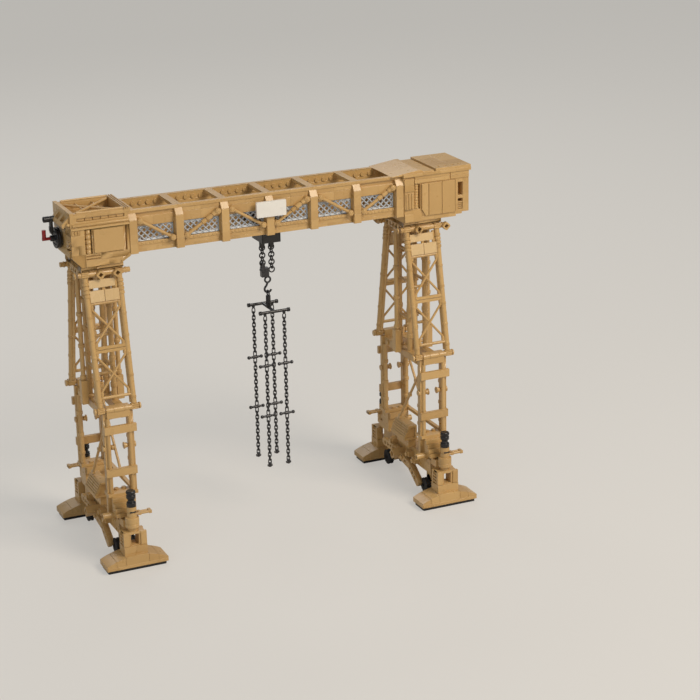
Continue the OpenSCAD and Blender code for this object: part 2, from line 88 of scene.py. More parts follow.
def moulded_abs(name, colour, shade, roughness):
    """ABS moulded in a polished tool: an even colour that drifts slightly from part to part,
    a soft gloss, and faint waves in the surface from the plastic's shrinking as it cools."""
    material = bpy.data.materials.new(name)
    material.use_nodes = True
    tree = material.node_tree
    shader = tree.nodes["Principled BSDF"]
    place = add(tree, "ShaderNodeTexCoord", out="Object")
    tone = add(tree, "ShaderNodeAttribute", None, {"attribute_name": "tone"}, "Fac")
    both = calc(tree, "ADD", tone, noise(tree, place, DRIFT, 2.0))
    mix = add(tree, "ShaderNodeMapRange", {"Value": both, "From Min": 0.2, "From Max": 1.6})
    base = add(tree, "ShaderNodeMix", {"Factor": mix, "A": linear(shade), "B": linear(colour)},
               {"data_type": "RGBA"}, "Result")
    gloss = add(tree, "ShaderNodeMapRange", {"Value": noise(tree, place, WAVE, 1.0),
                                             "To Min": roughness - 0.05, "To Max": roughness + 0.07})
    edge = add(tree, "ShaderNodeBevel", {"Radius": EDGE * MM}, {"samples": 3})
    bump = add(tree, "ShaderNodeBump", {"Strength": 0.35, "Distance": RELIEF * MM,
                                        "Height": noise(tree, place, GRAIN, 3.0), "Normal": edge})
    for key, value in (("Base Color", base), ("Roughness", gloss), ("Normal", bump)):
        tree.links.new(value, shader.inputs[key])
    shader.inputs["IOR"].default_value = ABS_IOR
    return material


TAN = moulded_abs("tan_abs_moulded", "#CAA66C", "#B7925A", 0.28)
# A paler copy of the tan for plates that face the key light: a painted highlight, lighter than the tan
# because of how the light falls
TAN_PAINTED_HIGHLIGHT = moulded_abs("tan_abs_painted_highlight", "#D9BC8C", "#CFAF7C", 0.26)
GREY = moulded_abs("light_grey_abs_moulded", "#B9C0C6", "#A9B1B8", 0.30)
BLACK = moulded_abs("black_abs_moulded", "#17171A", "#101012", 0.28)
CHAIN = moulded_abs("dark_grey_abs_moulded", "#2B2B2E", "#1F1F22", 0.30)
WHITE = moulded_abs("white_abs_moulded", "#EFEDE6", "#E4E1D8", 0.28)
RED = moulded_abs("red_abs_moulded", "#9C1A1C", "#861315", 0.28)
TYRE = moulded_abs("black_rubber_moulded", "#1C1C1D", "#131314", 0.62)
BY_SLOT = {"tan_brick": TAN, "lattice_grey": GREY, "black_part": BLACK, "tyre_black": TYRE,
           "chain_grey": CHAIN, "sign_white": WHITE, "handle_red": RED}

slot_of = {row["node"]: row["material_slot"] for row in frame["record"]["subparts"]}
body_of = {node: body for body, nodes in frame["record"]["behaviour"]["bodies"].items() for node in nodes}
for name, node in frame["nodes"].items():
    node.data.materials.clear()
    node.data.materials.append(BY_SLOT[slot_of[name]])


# Outlines and small helpers

def spans(ends):
    """The stretches between one value and the next."""
    return list(zip(ends, ends[1:]))


def sided(s, near, far):
    """A stretch on one side of the middle, low value first. s is 1 or -1."""
    return sorted((s * near, s * far))


def turns(count, first=0.0):
    """Even turns round a circle, in radians."""
    return [2 * math.pi * (k + first) / count for k in range(count)]


def rect(u, v):
    """The outline of a rectangle between two stretches."""
    return [(u[0], v[0]), (u[1], v[0]), (u[1], v[1]), (u[0], v[1])]


def rounded(w, d, r, centre=(0, 0)):
    """The outline of a rectangle with round corners."""
    out, steps = [], 4
    for k, (sx, sy) in enumerate(((1, 1), (-1, 1), (-1, -1), (1, -1))):
        for i in range(steps + 1):
            a = math.pi / 2 * (k + i / steps)
            out.append((centre[0] + sx * (w / 2 - r) + r * math.cos(a),
                        centre[1] + sy * (d / 2 - r) + r * math.sin(a)))
    return out


def capsule(p, q, r, steps=6):
    """The outline round a flat bar with round ends."""
    p, q = Vector(p), Vector(q)
    lean = math.atan2(q.y - p.y, q.x - p.x)
    out = []
    for centre, first in ((q, lean - math.pi / 2), (p, lean + math.pi / 2)):
        for i in range(steps + 1):
            a = first + math.pi * i / steps
            out.append((centre.x + r * math.cos(a), centre.y + r * math.sin(a)))
    return out


def ring_of(centre, r, sides):
    """Points round a circle."""
    return [(centre[0] + r * math.cos(a), centre[1] + r * math.sin(a)) for a in turns(sides)]


def placed(name, data, matrix=Matrix.Identity(4)):
    """A new object in the scene."""
    thing = bpy.data.objects.new(name, data)
    thing.matrix_world = matrix
    scene.collection.objects.link(thing)
    return thing


def evaluated(thing):
    """An object's mesh with its modifiers applied."""
    return bpy.data.meshes.new_from_object(thing.evaluated_get(bpy.context.evaluated_depsgraph_get()))


def carved(mesh, cuts):
    """Cuts boxes out of a mesh, each given as its x, y and z ends."""
    tool = bmesh.new()
    for cut in cuts:
        size = [v[1] - v[0] for v in cut]
        middle = Vector([(v[0] + v[1]) / 2 for v in cut])
        bmesh.ops.create_cube(tool, size=1.0, matrix=Matrix.Translation(middle) @ Matrix.Diagonal((*size, 1)))
    knife_mesh = bpy.data.meshes.new("knife")
    tool.to_mesh(knife_mesh)
    tool.free()
    knife, stock = placed("knife", knife_mesh), placed("stock", mesh)
    cutting = stock.modifiers.new("cut", "BOOLEAN")
    cutting.operation = "DIFFERENCE"
    cutting.solver = "EXACT"
    cutting.object = knife
    result = evaluated(stock)
    for thing in (knife, stock):
        bpy.data.objects.remove(thing)
    for used in (knife_mesh, mesh):
        bpy.data.meshes.remove(used)
    return result


# Bricks: one piece is many small moulded parts, joined in one mesh

BEVEL = 0.2                         # how far the mould rounds an edge, in millimetres
SHARP = math.radians(34)            # edges sharper than this are rounded
FLAT = math.radians(0.4)            # faces closer than this to one plane become one
SHORTEST, MOST_EDGES = 1.0, 6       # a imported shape's edges beside shorter or more edges stay as they are


class Kit:
    """Collects the small parts of one piece, in millimetres. Each part gets its own tone."""

    def __init__(self, name):
        self.name = "shown_" + name
        self.bm = bmesh.new()
        self.tone = self.bm.faces.layers.float.new("tone")
        self.core = self.bm.faces.layers.int.new("core")
        self.place = Matrix.Identity(4)
        self.random = random.Random(name)
        self.materials = []
        self.paint(TAN)

    def paint(self, material):
        """The parts that follow are made of this."""
        if material not in self.materials:
            self.materials.append(material)
        self.index = self.materials.index(material)

    def shape(self, points, faces):
        verts = [self.bm.verts.new(self.place @ Vector(p)) for p in points]
        tone = self.random.random()
        for f in faces:
            face = self.bm.faces.new([verts[i] for i in f])
            face[self.tone] = tone
            face.material_index = self.index

    def plate(self, axis, lo, hi, outline, holes=()):
        """An outline with holes, given depth along an axis. Its points hold the other two axes."""
        loops = [list(outline)] + [list(h) for h in holes]
        flat = [p for loop in loops for p in loop]
        n = len(flat)
        place = {"x": lambda p, w: (w, p[0], p[1]), "y": lambda p, w: (p[0], w, p[1]),
                 "z": lambda p, w: (p[0], p[1], w)}[axis]
        points = [place(p, w) for w in (lo, hi) for p in flat]
        if holes:
            caps = tessellate_polygon([[Vector((*p, 0)) for p in loop] for loop in loops])
        else:
            caps = [tuple(range(n))]
        faces = [tuple(c) for c in caps] + [tuple(i + n for i in reversed(c)) for c in caps]
        start = 0
        for loop in loops:
            m = len(loop)
            for i in range(m):
                j = (i + 1) % m
                faces.append((start + i, start + i + n, start + j + n, start + j))
            start += m
        self.shape(points, faces)

    def box(self, x, y, z):
        """A brick between the low and high value on each axis."""
        self.plate("z", *z, rect(x, y))

    def tiles(self, axis, level, out, u_ends, v_ends, proud=0.18):
        """Thin faces of single bricks on a flat side, so that each keeps its own edges and tone."""
        w = sorted((level - 0.5 * out, level + proud * out))
        for v in spans(v_ends):
            for u in spans(u_ends):
                self.box(*{"x": (w, u, v), "y": (u, w, v), "z": (u, v, w)}[axis])

    def bond(self, axis, level, out, u, v_ends, length):
        """Courses of bricks with staggered joints."""
        for k, v in enumerate(spans(v_ends)):
            first = u[0] + length * (0.5 if k % 2 else 1)
            count = max(0, math.ceil((u[1] - 2 - first) / length))
            self.tiles(axis, level, out, [u[0]] + [first + length * n for n in range(count)] + [u[1]], v)

    def turned(self, start, end, profile, sides=20):
        """A part turned on a lathe: profile holds (how far along from start to end, diameter)."""
        start, end = Vector(start), Vector(end)
        along = (end - start).normalized()
        u = along.orthogonal().normalized()
        v = along.cross(u)
        points = [start + along * t + (u * math.cos(a) + v * math.sin(a)) * (d / 2)
                  for t, d in profile for a in turns(sides)]
        faces = [tuple(range(sides)), tuple(reversed(range(len(points) - sides, len(points))))]
        for k in range(len(profile) - 1):
            for i in range(sides):
                j = (i + 1) % sides
                faces.append((k * sides + i, k * sides + j, (k + 1) * sides + j, (k + 1) * sides + i))
        self.shape(points, faces)

    def rod(self, start, end, d, sides=20):
        length = (Vector(end) - Vector(start)).length
        self.turned(start, end, [(0, d), (length, d)], sides)

    def collar(self, start, end, d_end, d, chamfer=0.4):
        """A ring with a chamfer at both ends."""
        length = round((Vector(end) - Vector(start)).length, 3)
        self.turned(start, end, [(0, d_end), (chamfer, d), (length - chamfer, d), (length, d_end)])

    def sleeve(self, start, end, d, bore, sides=24):
        """A tube."""
        start, end = Vector(start), Vector(end)
        along = (end - start).normalized()
        u = Vector((0, 0, 1)) if abs(along.z) < 0.9 else Vector((1, 0, 0))
        v = along.cross(u)
        points = [base + (u * math.cos(a) + v * math.sin(a)) * (size / 2)
                  for base in (start, end) for size in (d, bore) for a in turns(sides)]
        o0, i0, o1, i1 = (k * sides for k in range(4))
        faces = []
        for i in range(sides):
            j = (i + 1) % sides
            faces += [(o0 + i, o0 + j, o1 + j, o1 + i), (i0 + j, i0 + i, i1 + i, i1 + j),
                      (o0 + j, o0 + i, i0 + i, i0 + j), (o1 + i, o1 + j, i1 + j, i1 + i)]
        self.shape(points, faces)

    def each(self, places):
        """Builds what follows in each place in turn, and then goes on as before."""
        before = self.place
        for place in places:
            self.place = before @ place
            yield place
        self.place = before

    def node(self, name, cuts=()):
        """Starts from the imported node: loose triangles joined, recesses cut, flat faces made whole."""
        mesh = bpy.data.meshes.new("core")
        own = bmesh.new()
        own.from_mesh(frame["nodes"][name].data)
        bmesh.ops.remove_doubles(own, verts=own.verts, dist=0.00001)
        bmesh.ops.scale(own, vec=(1 / MM,) * 3, verts=own.verts)
        own.to_mesh(mesh)
        if cuts:
            mesh = carved(mesh, cuts)
            own.clear()
            own.from_mesh(mesh)
        bmesh.ops.dissolve_limit(own, angle_limit=FLAT, verts=own.verts, edges=own.edges)
        own.to_mesh(mesh)
        own.free()
        start = len(self.bm.faces)
        self.take(mesh, whole=True)
        self.bm.faces.ensure_lookup_table()
        for f in self.bm.faces[start:]:
            f[self.core] = 1

    def take(self, mesh, whole=False):
        """Adds a finished mesh in millimetres. A whole one is in its place already."""
        if mesh.materials and mesh.materials[0]:
            self.paint(mesh.materials[0])
        start = len(self.bm.faces)
        self.bm.from_mesh(mesh)
        self.tone = self.bm.faces.layers.float["tone"]
        self.core = self.bm.faces.layers.int["core"]
        self.bm.faces.ensure_lookup_table()
        fresh = self.bm.faces[start:]
        if not whole:
            for v in {v for f in fresh for v in f.verts}:
                v.co = self.place @ v.co
        for f in fresh:
            f.material_index = self.index
            f[self.tone] = 0.5
        bpy.data.meshes.remove(mesh)

    def grow(self, tree, material, points=((0, 0, 0),), edges=(), facing=(), **values):
        """Adds what a Geometry Nodes tree makes of a wire mesh. The paint stays as it was."""
        mesh = bpy.data.meshes.new("seed")
        mesh.from_pydata([tuple(p) for p in points], edges, [])
        if facing:
            towards = mesh.attributes.new("facing", "FLOAT_VECTOR", "POINT")
            towards.data.foreach_set("vector", [c for f in facing for c in f])
        holder = placed("seed", mesh)
        modifier = holder.modifiers.new("grow", "NODES")
        modifier.node_group = tree
        for item in tree.interface.items_tree:
            if item.name in values:
                modifier[item.identifier] = values[item.name]
            elif item.name == "Material":
                modifier[item.identifier] = material
        result = evaluated(holder)
        bpy.data.objects.remove(holder)
        bpy.data.meshes.remove(mesh)
        before = self.index
        self.take(result)
        self.index = before

    def done(self, node):
        """Rounds the edges as the mould does, scales to metres and stands the mesh in for its node."""
        bmesh.ops.recalc_face_normals(self.bm, faces=self.bm.faces)
        weight = self.bm.edges.layers.float.new("bevel_weight_edge")
        core = self.bm.faces.layers.int["core"]
        for e in self.bm.edges:
            e.smooth = True
            if len(e.link_faces) != 2 or e.calc_face_angle(0) < SHARP:
                continue
            near = [n for v in e.verts for n in v.link_edges]
            if e.link_faces[0][core] and (len(near) > MOST_EDGES
                                          or min(n.calc_length() for n in near) < SHORTEST):
                e.smooth = False
            else:
                e[weight] = 1.0
        mesh = bpy.data.meshes.new(self.name)
        self.bm.to_mesh(mesh)
        self.bm.free()
        for material in self.materials:
            mesh.materials.append(material)
        mesh.polygons.foreach_set("use_smooth", [True] * len(mesh.polygons))
        piece = placed(self.name, mesh)
        edge = piece.modifiers.new("moulded_edges", "BEVEL")
        edge.width = BEVEL
        edge.segments = 2
        edge.limit_method = "WEIGHT"
        edge.use_clamp_overlap = True
        flat = piece.modifiers.new("flat_faces", "WEIGHTED_NORMAL")
        flat.keep_sharp = True
        final = evaluated(piece)
        final.transform(Matrix.Scale(MM, 4))
        final.name = self.name
        piece.modifiers.clear()
        piece.data = final
        bpy.data.meshes.remove(mesh)
        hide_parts(node)
        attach(piece, body_of[node])


# Geometry Nodes trees

def tree_with(name, **sockets):
    """An empty tree and the sockets of its input."""
    tree = bpy.data.node_groups.new(name, "GeometryNodeTree")
    for label, kind in {"Geometry": "Geometry", **sockets, "Material": "Material"}.items():
        tree.interface.new_socket(label, in_out="INPUT", socket_type="NodeSocket" + kind)
    tree.interface.new_socket("Geometry", in_out="OUTPUT", socket_type="NodeSocketGeometry")
    return tree, tree.nodes.new("NodeGroupInput").outputs


def closed(tree, given, geometry):
    """Makes copies real, sets their material and sends them out of the tree."""
    solid = add(tree, "GeometryNodeRealizeInstances", {"Geometry": geometry})
    made = add(tree, "GeometryNodeSetMaterial", {"Geometry": solid, "Material": given["Material"]})
    tree.links.new(made, tree.nodes.new("NodeGroupOutput").inputs["Geometry"])
    return tree


def circle(tree, points, diameter):
    return add(tree, "GeometryNodeCurvePrimitiveCircle",
               {"Resolution": points, "Radius": calc(tree, "MULTIPLY", diameter, 0.5)})


def copies(tree, points, one, rotation):
    return add(tree, "GeometryNodeInstanceOnPoints",
               {"Points": points, "Instance": one, "Rotation": rotation})


def bars_tree():
    """Round or faceted bars along every edge of a wire mesh."""
    tree, given = tree_with("bars_along_edges", Thickness="Float", Sides="Int")
    curves = add(tree, "GeometryNodeMeshToCurve", {"Mesh": given["Geometry"]})
    profile = circle(tree, given["Sides"], given["Thickness"])
    swept = add(tree, "GeometryNodeCurveToMesh",
                {"Curve": curves, "Profile Curve": profile, "Fill Caps": True})
    return closed(tree, given, swept)


def chain_tree():
    """Oval or round links hung in a line, each turned a quarter against the last."""
    tree, given = tree_with("chain", Links="Int", Pitch="Float", Width="Float", Length="Float", Wire="Float")
    step = add(tree, "ShaderNodeCombineXYZ", {"Z": calc(tree, "MULTIPLY", given["Pitch"], -1.0)})
    line = add(tree, "GeometryNodeMeshLine", {"Count": given["Links"], "Offset": step}, {"mode": "OFFSET"})
    half = calc(tree, "MULTIPLY", calc(tree, "SUBTRACT", given["Length"], given["Width"]), 0.5)
    y = add(tree, "ShaderNodeSeparateXYZ", {0: add(tree, "GeometryNodeInputPosition")}, out="Y")
    shift = add(tree, "ShaderNodeCombineXYZ", {"Y": calc(tree, "MULTIPLY", calc(tree, "SIGN", y), half)})
    bend = circle(tree, 24, calc(tree, "SUBTRACT", given["Width"], given["Wire"]))
    oval = add(tree, "GeometryNodeSetPosition", {"Geometry": bend, "Offset": shift})
    wire = circle(tree, 8, given["Wire"])
    link = add(tree, "GeometryNodeCurveToMesh", {"Curve": oval, "Profile Curve": wire})
    stood = add(tree, "GeometryNodeTransform", {"Geometry": link, "Rotation": (math.pi / 2, 0, 0)})
    odd = calc(tree, "MODULO", add(tree, "GeometryNodeInputIndex"), 2.0)
    turn = add(tree, "ShaderNodeCombineXYZ", {"Z": calc(tree, "MULTIPLY", odd, math.pi / 2)})
    return closed(tree, given, copies(tree, line, stood, turn))


def knobs_tree():
    """Round or square knobs that stand on points, each along its point's direction."""
    tree, given = tree_with("knobs_on_points", Diameter="Float", Height="Float", Sides="Int")
    knob = add(tree, "GeometryNodeMeshCylinder",
               {"Vertices": given["Sides"], "Radius": calc(tree, "MULTIPLY", given["Diameter"], 0.5),
                "Depth": given["Height"]})
    facing = add(tree, "GeometryNodeInputNamedAttribute", {"Name": "facing"}, {"data_type": "FLOAT_VECTOR"},
                 "Attribute")
    turn = add(tree, "FunctionNodeAlignRotationToVector", {"Vector": facing}, {"axis": "Z"})
    return closed(tree, given, copies(tree, given["Geometry"], knob, turn))


BARS, CHAINS, KNOBS = bars_tree(), chain_tree(), knobs_tree()


def bars(kit, paths, thickness, material=TAN, sides=10):
    """Bars bent along paths of points."""
    points, edges = [], []
    for path in paths:
        first = len(points)
        points += path
        edges += [(first + i, first + i + 1) for i in range(len(path) - 1)]
    kit.grow(BARS, material, points, edges, Thickness=thickness, Sides=sides)


def chain(kit, top, **sizes):
    """Hangs a chain with its first link's middle at top."""
    for _ in kit.each([Matrix.Translation(top)]):
        kit.grow(CHAINS, CHAIN, **sizes)


def knobs(kit, points, facing, diameter, height, sides=18, material=TAN):
    """Studs or tread blocks with their middles at points, facing one way or one way each."""
    if isinstance(facing, tuple):
        facing = [facing] * len(points)
    kit.grow(KNOBS, material, points, facing=facing, Diameter=diameter, Height=height, Sides=sides)

# Places of the assemblies. A back piece is a front piece turned half round.

POSTS = [-144 + 48 * i for i in range(7)]
FRONT, BACK = Matrix.Identity(4), Matrix.Rotation(math.pi, 4, "Z")
TOWERS = (("left", Matrix.Translation((-177, 0, 0))), ("right", Matrix.Translation((171, 0, 0))))

# Measures that several lines share, in millimetres
SIDE = 28                           # half the depth of both housings
HUB_Y, HUB_Z = 6, 324               # the hand wheel's axis
BAR_Y, BAR_Z = -23, 291             # the head's hinge bar
PANEL_LENGTH = 135.33               # a leaning panel, from its lower hinge to its upper one
PANEL_PLACE = Matrix.Translation((0, -48, 158)) @ Matrix.Rotation(-math.atan(25 / 133), 4, "X")
JACK_Y = -75                        # the middle of a front jack and its pad
AXLE_Y, AXLE_Z = -46, 11.4          # the axle of a front wheel pair
TYRES_X = (-11, 5)                  # where each tyre of a pair starts


def ring_column(kit, x, y, z0, z1, d, rings):
    """A column of stacked rings."""
    pitch = (z1 - z0) / rings
    profile = []
    for k in range(rings):
        z = k * pitch
        profile += [(z, d - 1.2), (z + 0.4, d - 1.2), (z + 0.6, d), (z + pitch - 0.6, d),
                    (z + pitch - 0.4, d - 1.2)]
    kit.turned((x, y, z0), (x, y, z1), profile)


def right_column_ribs(kit):
    """Ribs and a slot under the column's top."""
    for x in (150.4, 153.7, 157):
        kit.box((x, x + 1.6), (-30.4, -29.4), (314.4, 331))
    kit.plate("x", 149, 160, [(-29.4, 333), (-30.4, 333), (-30, 338), (-28.2, 344.6), (-28, 344.6)])


# Girder

def wall(kit):
    """Chord tiles, courses above and below the windows, and studs inside under the chord."""
    for i, (a, b) in enumerate(spans([-148] + POSTS[1:-1] + [148])):
        mid = (a + b) / 2
        left, right = POSTS[i] + 4.1, POSTS[i + 1] - 4.1
        kit.tiles("y", -24.8, -1, [a, b], [346.8, 350])
        kit.tiles("z", 350, 1, [a, mid, b], [-24.8, -20])
        for joint, z in ((mid, [333, 342.4]), (mid - 8, [307, 310.2]), (mid + 8, [310.2, 313.6])):
            kit.tiles("y", -24, -1, [left, joint, right], z)
        kit.plate("y", -24.8, -23.5, rect((left, right), (313.6, 316.9)))
        for k in range(9):
            x = mid - 16 + 4 * k
            kit.box((x - 1.2, x + 1.2), (-25.1, -24.6), (314.2, 316.4))
        if 0 < i < 5:
            kit.tiles("y", -24, -1, [left, mid, right], [342.6, 346.7], 0.3)
        knobs(kit, [(v, -19.5, 344.6) for v in range(int(a) + 8, int(b) - 3, 8)], (0, 1, 0), 4.6, 1.6)
    kit.bond("y", -20, 1, (-148, 148), [333.2, 342.4], 32)
    kit.bond("y", -20, 1, (-148, 148), [321.4, 322.4], 48)


def post_row(kit):
    """Each post in three bricks, with a sloped cap."""
    courses = [307, 316.6, 326.2, 340.3]
    for p in POSTS:
        kit.tiles("y", -29, -1, [p - 4, p + 4], courses)
        kit.plate("x", p - 4.05, p + 4.05, [(-29.2, 340.7), (-24.9, 347), (-24.2, 346), (-28.4, 340.2)])
        for s in (-1, 1):
            kit.tiles("x", p + 4 * s, s, [-29, -24], courses, 0.1)


def lattice(kit):
    """Lattice windows: a frame and two sets of slanted bars that cross."""
    pitch, low, high = 6.4, 317.7, 332.3
    for a, b in spans(POSTS):
        x0, x1 = a + 5.7, b - 5.7
        paths = [[(x0, -22.3, low), (x1, -22.3, low)], [(x0, -22.3, high), (x1, -22.3, high)],
                 [(x0, -22.3, low), (x0, -22.3, high)], [(x1, -22.3, low), (x1, -22.3, high)]]
        for k in range(-3, 7):
            foot = x0 + k * pitch
            start, end = max(x0, foot), min(x1, foot + high - low)
            if end - start > 1:
                paths.append([(start, -22.0, low + start - foot), (end, -22.0, low + end - foot)])
                paths.append([(start, -22.6, high - start + foot), (end, -22.6, high - end + foot)])
        bars(kit, paths, 1.7, GREY, 6)


def diagonal_ends(kit):
    """Round pin heads at the ends of the diagonals, and grooved sleeves on the rising ones."""
    for i, (a, b) in enumerate(spans(POSTS)):
        x0, x1, low, high = a + 7.4, b - 7.4, 318.5, 339
        falls = i % 2 == 0
        start = Vector((x0, -26.5, high if falls else low))
        end = Vector((x1, -26.5, low if falls else high))
        for point, d in ((start, 4), (end, 5.2 if falls else 4)):
            x, z = point.x, point.z
            kit.turned((x, -28.9, z), (x, -29.7, z), [(0, d), (0.5, d), (0.8, d - 0.6)])
            kit.turned((x, -29.5, z), (x, -29.9, z), [(0, 1.8), (0.4, 1.6)], 6)
        for x, z in ((x0 - 1.7, start.z), (x1 + 1.7, end.z)):
            kit.box((x - 1.7, x + 1.7), (-27, -24), (z - 2.2, z + 2.2))
        if not falls:
            for u, v in ((0.5, 0.62), (0.65, 0.8), (0.83, 0.97)):
                kit.rod(start.lerp(end, u), start.lerp(end, v), 4.8)


def ties(kit):
    """Two flat tiles on each tie."""
    for p in POSTS:
        kit.tiles("z", 350, 1, [p - 4, p + 4], [-19.8, 0, 19.8])


def rails(kit):
    """Rails of separate plates."""
    for s in (-1, 1):
        kit.tiles("y", s * 15, -s, [-144 + 32 * n for n in range(10)], [310, 313.1], 0.1)


def sign(kit):
    """The bare sign, a tile with round corners."""
    kit.paint(WHITE)
    kit.plate("y", -32.2, -29.05, rounded(32, 16, 0.8, (0, 335)))


# Left housing

def left_box(kit):
    """Bricks round the door, cut corners on the lower band, and what stands in the recesses."""
    for s in (-1, 1):
        kit.plate("y", *sided(s, 27.5, 28.2),
                  [(-207, 310.2), (-198, 300), (-193.3, 300), (-193.3, 312.5), (-207, 312.5)])
        kit.tiles("y", s * SIDE, s, [-193.2, -170, -158.2], [300.1, 306.2])
        kit.tiles("y", s * SIDE, s, [-177.6, -166, -148], [306.4, 312.5])
        kit.plate("y", *sided(s, 28, 28.8), [(-158, 300.2), (-148, 306.2), (-148, 309), (-158, 303)])
        kit.tiles("y", s * SIDE, s, [-207, -200, -193.4], [312.7, 322.1, 331.7, 337.5])
        kit.plate("y", *sided(s, 27.5, 29), rect((-207, -148), (338, 340)))
        kit.rod((-205, s * 27.8, 342.4), (-148, s * 27.8, 342.4), 3.2)
        ring_column(kit, -189.5, s * 25.4, 312.7, 337.5, 5.4, 5)
        for k in range(3):
            kit.plate("x", -207 + 0.2 * k, -204.5,
                      rect((s * (16 + 4 * k), s * (18.6 + 4 * k)), (318 + k, 331 - k)))
        for x in (-204.8, -201.8, -198.8):
            kit.plate("y", *sided(s, 28, 28.9), rect((x - 1, x + 1), (333, 337)))
        kit.tiles("y", s * SIDE, s, [-150.9, -148], [312.5, 337.4])
    for y in ([-27.6, -11, 2], [10, 27.6]):
        kit.tiles("x", -207, -1, y, [318.6, 331.6, 340.8])
    kit.tiles("x", -207, -1, [-27.6, -12, 1], [340.8, 344])
    kit.plate("y", -24.1, 24.1,
              [(-207, 318), (-208.6, 312), (-208.6, 310.2), (-207, 310.2), (-206, 310.2), (-206, 318)])
    for k in range(3):
        z = 327 - 4 * k
        kit.plate("y", -27, -18,
                  [(-206.5, z), (-209.2, z - 1.6), (-209.2, z - 2.8), (-206.5, z - 1.6)])


def door_faces(kit):
    """A row of small dots under the door's upper edge, and a thin tile below them."""
    for s in (-1, 1):
        knobs(kit, [(-181.5 + 3 * k, s * 28.4, 333.9) for k in range(9)], (0, s, 0), 1.2, 0.5, 8)
        kit.tiles("y", s * 28.4, s, [-184.3, -154.7], [330.2, 331.8], 0.3)


def top_frame(kit):
    """An open frame in layers of plates and tiles, with thin crossing braces and a wide end beam."""
    for s in (-1, 1):
        for x in spans((-207, -191, -167, -148)):
            kit.box(x, sided(s, 23, 28), (349.4, 352.8))
        kit.box((-206.9, -148.1), sided(s, 23.1, 27.9), (344, 346))
        kit.box((-206.8, -148.2), sided(s, 23.2, 25.4), (345.5, 350))
        for x in ((-206.8, -200.2), (-152.2, -148.4)):
            kit.box(x, sided(s, 25, 27.8), (345.8, 349.6))
        for n in range(6):
            kit.box((-199.6 + 8 * n, -192.4 + 8 * n), sided(s, 25, 26.4), (346.2, 349.2))
        kit.box((-203, -148), sided(s, 23.6, 27.2), (352.6, 354))
        for y, d in ((26.4, 1.6), (24.4, 1.2)):
            kit.rod((-200, s * y, 354.6), (-153, s * y, 354.6), d, 10)
    for y in spans((-28.1, -12, 4, 28.1)):
        kit.box((-207.15, -203.3), y, (343.9, 355.1))
    for y in spans((-23, -7.7, 7.7, 23)):
        kit.box((-203.6, -201.6), y, (350.6, 354.2))
    kit.box((-152.6, -146), (-28.3, 28.3), (350.2, 353.4))
    kit.box((-152, -148.3), (-27.6, 27.6), (344.1, 350.4))
    for x in (-151.8, -149.4, -147):
        kit.rod((x, -28.4, 354.1), (x, 28.4, 354.1), 1.9, 12)
    bars(kit, [[(-202, -23, 352.6), (-153, 23, 352.6)], [(-202, 23, 351.6), (-153, -23, 351.6)]], 2.6)
    for x in (-186, -169):
        bars(kit, [[(x, -23.4, 351), (x, 23.4, 351)]], 1.6)


def tray_floor(kit):
    """Studs in the tray's two pockets."""
    knobs(kit, [(-210.5, y, 344.6) for y in (-20, -15, -4, 1)], (0, 0, 1), 3.4, 1.0, 12)
    kit.rod((-209, -25.9, 344.4), (-209, -29, 344.4), 3.0)


def bar_grip(kit):
    """A thick grip on the end bar and the bracket that hangs from it."""
    kit.turned((-224, 6, 343.5), (-209.5, 6, 343.5),
               [(0, 5), (0.5, 6), (6, 6), (6.2, 5.4), (7, 5.4), (7.2, 6), (14.5, 6)])
    kit.box((-217.6, -214.9), (3.4, 8.6), (329, 342))
    kit.box((-218.3, -217.5), (4.2, 7.8), (331, 336))


def wheel_face(kit):
    """The hand wheel on its shaft: a grooved rim, a dished face and small pins round the hub."""
    kit.paint(BLACK)
    kit.turned((-218, HUB_Y, HUB_Z), (-199, HUB_Y, HUB_Z),
               [(0, 5.4), (0.4, 6), (4, 6), (4.2, 9), (4.6, 15), (4.4, 16.6), (4.2, 19.6), (4.8, 21), (6, 21),
                (6.2, 20), (6.8, 20), (7, 21), (8.4, 21), (9, 20), (9, 3.2), (19, 3.2)], 40)
    knobs(kit, [(-213.6, HUB_Y + 6.4 * math.cos(a), HUB_Z + 6.4 * math.sin(a)) for a in turns(8, 0.5)],
          (-1, 0, 0), 1.8, 1.2, 10, BLACK)


# Right housing

def right_box(kit):
    """Bricks round the doors, the frieze, the ledge, the ring columns and the ribs in the lower windows."""
    for s in (-1, 1):
        for x, z in (([168.2, 184, 200, 208.9], [300, 304.7]), ([208.7, 211.4], [305, 313, 340.2]),
                     ([217.1, 224], [304, 313.6, 323.2, 332.8, 340.2]), ([211.5, 217], [336.1, 340.2]),
                     ([211.5, 217], [318.7, 321.8])):
            kit.tiles("y", s * SIDE, s, x, z)
        for x in ((161, 180), (180, 201.4), (202.6, 224)):
            for z in ((340.5, 344.3), (344.4, 348)):
                kit.box(x, sided(s, 27.5, 28.9), z)
        kit.plate("x", 149, 168.6, [(s * 27.4, 300), (s * 29.6, 300), (s * 29.6, 306.6), (s * 27.4, 313.4)])
        kit.plate("x", 149.2, 158.6, [(s * 29, 300.2), (s * 29.9, 300.2), (s * 29.9, 306.2), (s * 29, 308.6)])
        kit.tiles("y", s * SIDE, s, [148, 159.8], [314.4, 322, 331.6, 341.2, 348])
        ring_column(kit, 163.7, s * 25.5, 313, 339.5, 5.4, 9)
        for z in (308.4, 310.6, 312.8):
            kit.box((211.7, 216.8), sided(s, 26.6, 27.7), (z - 0.6, z + 0.6))
    kit.bond("y", 28, 1, (168.4, 208.5), [305, 314.4, 324, 333.6, 340.2], 16)
    kit.bond("x", 224, 1, (-28, 28), [304, 313.6, 323.2, 332.8, 342.4, 348], 16)


